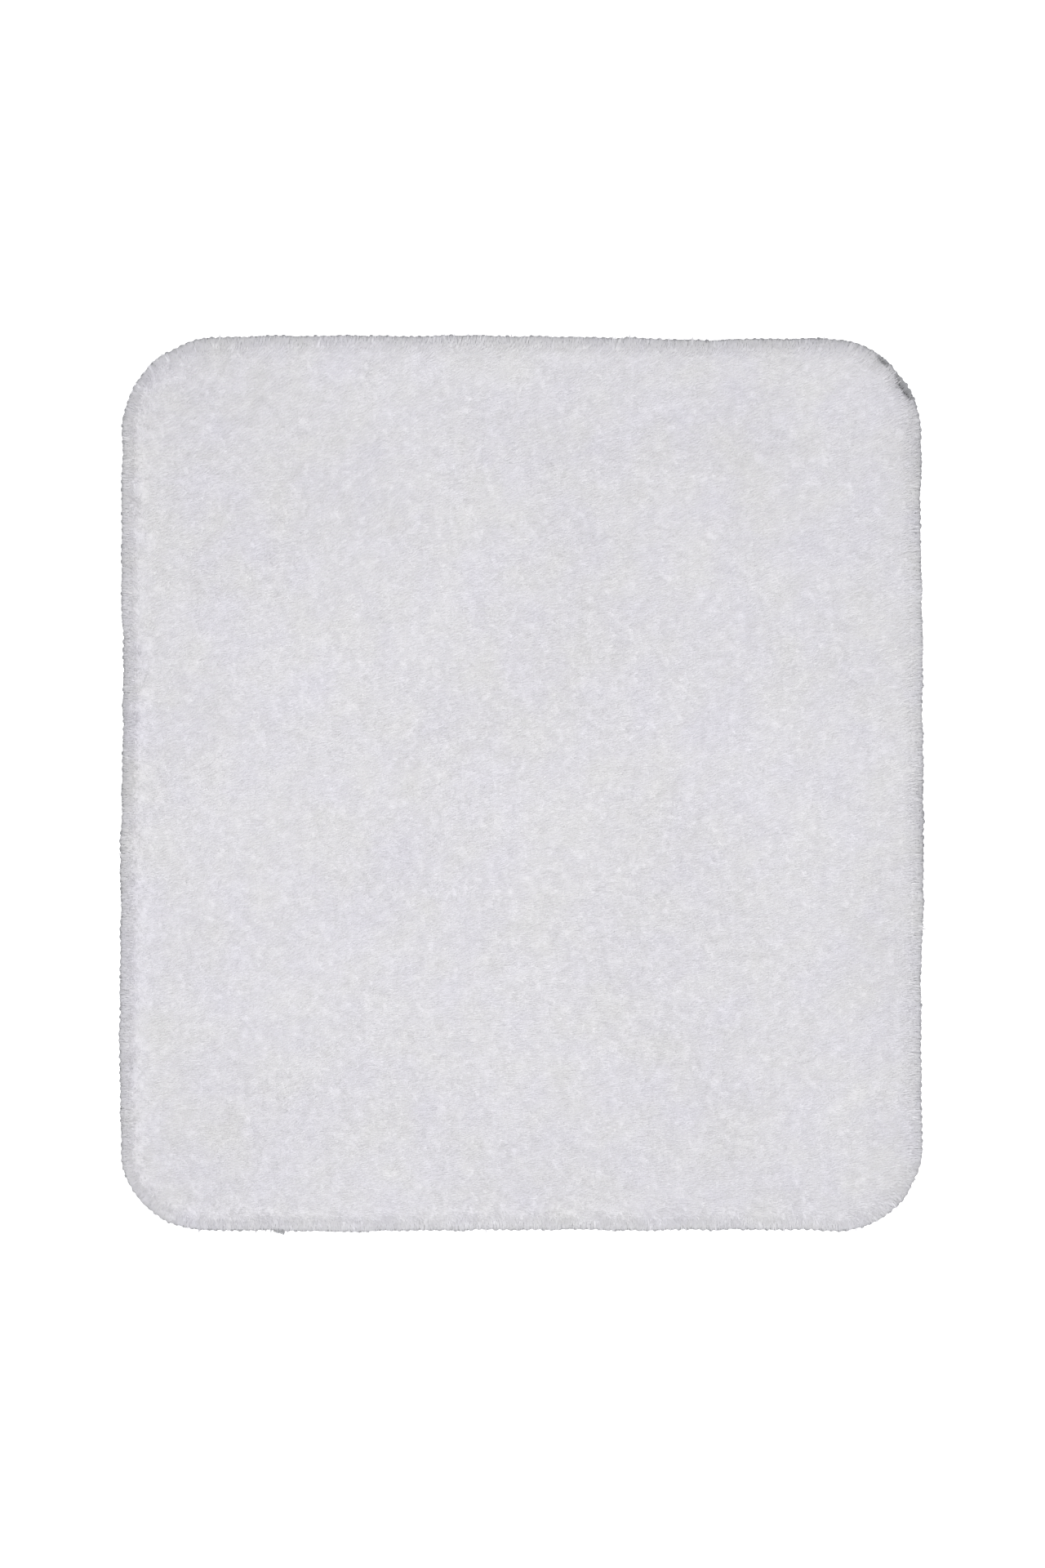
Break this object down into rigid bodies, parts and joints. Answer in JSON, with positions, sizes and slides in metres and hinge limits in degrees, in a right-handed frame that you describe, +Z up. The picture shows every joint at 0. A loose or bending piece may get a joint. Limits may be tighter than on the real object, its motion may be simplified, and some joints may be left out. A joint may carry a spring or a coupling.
{
  "type": "bath mat",
  "caption": "Rectangular cut-pile bath mat with rounded corners, an overlocked rim, a woven backing and a non-slip underside.",
  "frame": {"origin": "on the floor, under the middle of the mat", "axes": "+X across the mat, +Y along its longer side towards the back edge that carries the care label, +Z up out of the pile"},
  "size_m": [0.502, 0.5594, 0.0199],
  "materials": {
    "pile_yarn": "soft matt cut pile of fine crimped microfibre, white with a faint lavender cast",
    "woven_scrim": "plain-woven off-white scrim",
    "lock_latex": "matt cream latex",
    "grip_rubber": "satin white thermoplastic rubber with raised grip dots",
    "overlock_thread": "bulky white textured polyester thread",
    "label_ribbon": "blank white satin ribbon"
  },
  "bodies": {
    "root": {"pile": "pile_yarn", "primary_backing": "woven_scrim", "tuft_lock_coat": "lock_latex", "antislip_backing": "grip_rubber", "overlock_upper_looper_thread": "overlock_thread", "overlock_lower_looper_thread": "overlock_thread", "overlock_needle_thread": "overlock_thread", "care_label": "label_ribbon"}
  },
  "joints": []
}
